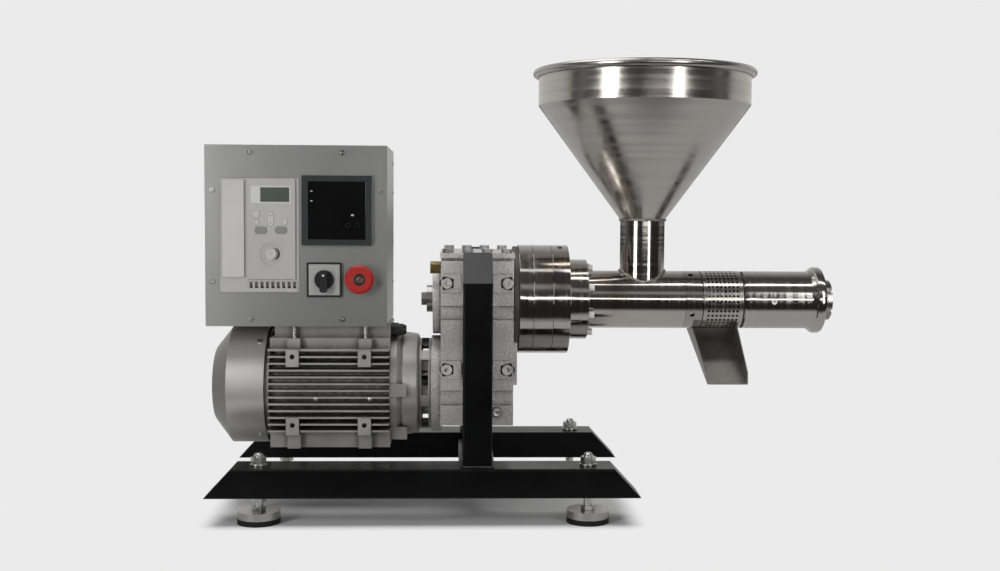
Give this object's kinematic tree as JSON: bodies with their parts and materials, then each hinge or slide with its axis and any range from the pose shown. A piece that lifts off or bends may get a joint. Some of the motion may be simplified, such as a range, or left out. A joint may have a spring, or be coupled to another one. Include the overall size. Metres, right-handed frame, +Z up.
{
  "type": "screw oil press",
  "caption": "Motor-driven cold screw press for oil seeds, with hopper, strainer barrel, gearbox and control cabinet on a steel base.",
  "frame": {"origin": "on the floor under the middle of the overall length, in the machine's middle plane", "axes": "+X along the press axis towards the nozzle, -Y towards the operator's side with the controls, +Z up"},
  "size_m": [0.894, 0.336, 0.6295],
  "materials": {
    "black_steel": "semi-gloss black powder coat",
    "zinc_steel": "bright zinc plate",
    "black_rubber": "matt moulded rubber",
    "grey_paint": "satin grey enamel",
    "grey_casting": "fine-grained casting painted silver grey",
    "windings": "varnished copper and lamination",
    "turned_steel": "turned and ground steel",
    "dark_steel": "blackened steel",
    "polished_steel": "fine turned and polished stainless steel",
    "brushed_stainless": "brushed stainless sheet",
    "brass": "dull brass",
    "cabinet_paint": "fine-textured grey paint",
    "light_plastic": "light grey moulded plastic",
    "black_plastic": "black moulded plastic",
    "red_plastic": "red moulded plastic",
    "display_glass": "dark display window"
  },
  "bodies": {
    "frame": {"base_rails": "black_steel", "uprights": "black_steel", "foot_nuts": "zinc_steel", "foot_discs": "zinc_steel", "foot_rubbers": "black_rubber", "motor_frame": "grey_paint", "motor_stator": "windings", "fan_cowl": "grey_paint", "motor_front_shield": "grey_paint", "motor_rear_shield": "grey_paint", "hex_bolts": "zinc_steel", "pan_screws": "zinc_steel", "socket_screws": "zinc_steel", "bearings": "turned_steel", "shaft_seals": "black_rubber", "lantern": "grey_casting", "gear_case": "grey_casting", "top_cover": "grey_casting", "oil_plugs": "brass", "end_cover": "grey_casting", "adapter_ring": "dark_steel", "thrust_plates": "polished_steel", "feed_barrel": "polished_steel", "locking_ring": "polished_steel", "strainer": "polished_steel", "press_head": "polished_steel", "nozzle": "polished_steel", "hopper": "brushed_stainless", "spout_tube": "polished_steel", "oil_chute": "brushed_stainless", "cabinet_box": "cabinet_paint", "cabinet_cover": "cabinet_paint", "drive_body": "light_plastic", "display_windows": "display_glass", "controller_body": "black_plastic", "switch_plate": "black_plastic", "switch_bodies": "black_plastic", "cable_gland": "black_rubber"},
    "press_shaft": {"output_gear": "turned_steel", "output_shaft": "turned_steel", "press_screw": "turned_steel"},
    "layshaft": {"intermediate_shaft": "turned_steel"},
    "motor_shaft": {"motor_rotor": "turned_steel", "motor_fan": "black_plastic", "coupling_hubs": "turned_steel", "coupling_spider": "red_plastic", "input_pinion": "turned_steel"},
    "foot_1": {"foot_stud_1": "zinc_steel"},
    "foot_2": {"foot_stud_2": "zinc_steel"},
    "foot_3": {"foot_stud_3": "zinc_steel"},
    "foot_4": {"foot_stud_4": "zinc_steel"},
    "menu": {"menu_key": "light_plastic"},
    "local": {"local_key": "light_plastic"},
    "enter": {"enter_key": "light_plastic"},
    "start": {"start_key": "light_plastic"},
    "stop": {"stop_key": "light_plastic"},
    "arrow": {"arrow_key": "light_plastic"},
    "pot": {"pot_knob": "light_plastic"},
    "selector": {"switch_knob": "black_plastic"},
    "estop": {"estop_button": "red_plastic"}
  },
  "joints": [
    {"name": "press_turn", "type": "hinge", "parent": "frame", "child": "press_shaft", "pos_m": [0, 0, 0.296], "axis": [1, 0, 0], "continuous": true},
    {"name": "layshaft_turn", "type": "hinge", "parent": "frame", "child": "layshaft", "pos_m": [0, 0.02451, 0.22512], "axis": [1, 0, 0], "continuous": true},
    {"name": "motor_turn", "type": "hinge", "parent": "frame", "child": "motor_shaft", "pos_m": [0, 0, 0.172], "axis": [1, 0, 0], "continuous": true},
    {"name": "foot_1_turn", "type": "hinge", "parent": "frame", "child": "foot_1", "pos_m": [-0.368, -0.138, 0], "axis": [0, 0, 1], "continuous": true},
    {"name": "foot_2_turn", "type": "hinge", "parent": "frame", "child": "foot_2", "pos_m": [0.08, -0.138, 0], "axis": [0, 0, 1], "continuous": true},
    {"name": "foot_3_turn", "type": "hinge", "parent": "frame", "child": "foot_3", "pos_m": [-0.368, 0.138, 0], "axis": [0, 0, 1], "continuous": true},
    {"name": "foot_4_turn", "type": "hinge", "parent": "frame", "child": "foot_4", "pos_m": [0.08, 0.138, 0], "axis": [0, 0, 1], "continuous": true},
    {"name": "menu_press", "type": "slide", "parent": "frame", "child": "menu", "axis": [0, 1, 0], "range_m": [0, 0.0008], "stiffness_N_per_m": 800, "springref_m": -0.0008},
    {"name": "local_press", "type": "slide", "parent": "frame", "child": "local", "axis": [0, 1, 0], "range_m": [0, 0.0008], "stiffness_N_per_m": 800, "springref_m": -0.0008},
    {"name": "enter_press", "type": "slide", "parent": "frame", "child": "enter", "axis": [0, 1, 0], "range_m": [0, 0.0008], "stiffness_N_per_m": 800, "springref_m": -0.0008},
    {"name": "start_press", "type": "slide", "parent": "frame", "child": "start", "axis": [0, 1, 0], "range_m": [0, 0.0008], "stiffness_N_per_m": 800, "springref_m": -0.0008},
    {"name": "stop_press", "type": "slide", "parent": "frame", "child": "stop", "axis": [0, 1, 0], "range_m": [0, 0.0008], "stiffness_N_per_m": 800, "springref_m": -0.0008},
    {"name": "arrow_press", "type": "slide", "parent": "frame", "child": "arrow", "axis": [0, 1, 0], "range_m": [0, 0.0008], "stiffness_N_per_m": 800, "springref_m": -0.0008},
    {"name": "pot_turn", "type": "hinge", "parent": "frame", "child": "pot", "pos_m": [-0.3559, -0.09, 0.3635], "axis": [0, -1, 0], "range_deg": [-135, 135]},
    {"name": "selector_turn", "type": "hinge", "parent": "frame", "child": "selector", "pos_m": [-0.2835, -0.09, 0.328], "axis": [0, -1, 0], "range_deg": [-90, 0]},
    {"name": "estop_press", "type": "slide", "parent": "frame", "child": "estop", "axis": [0, 1, 0], "range_m": [0, 0.005]}
  ],
  "couplings": [
    {"joint": "layshaft_turn", "follows": "press_turn", "ratio": -3.4118},
    {"joint": "motor_turn", "follows": "press_turn", "ratio": 12.242}
  ]
}
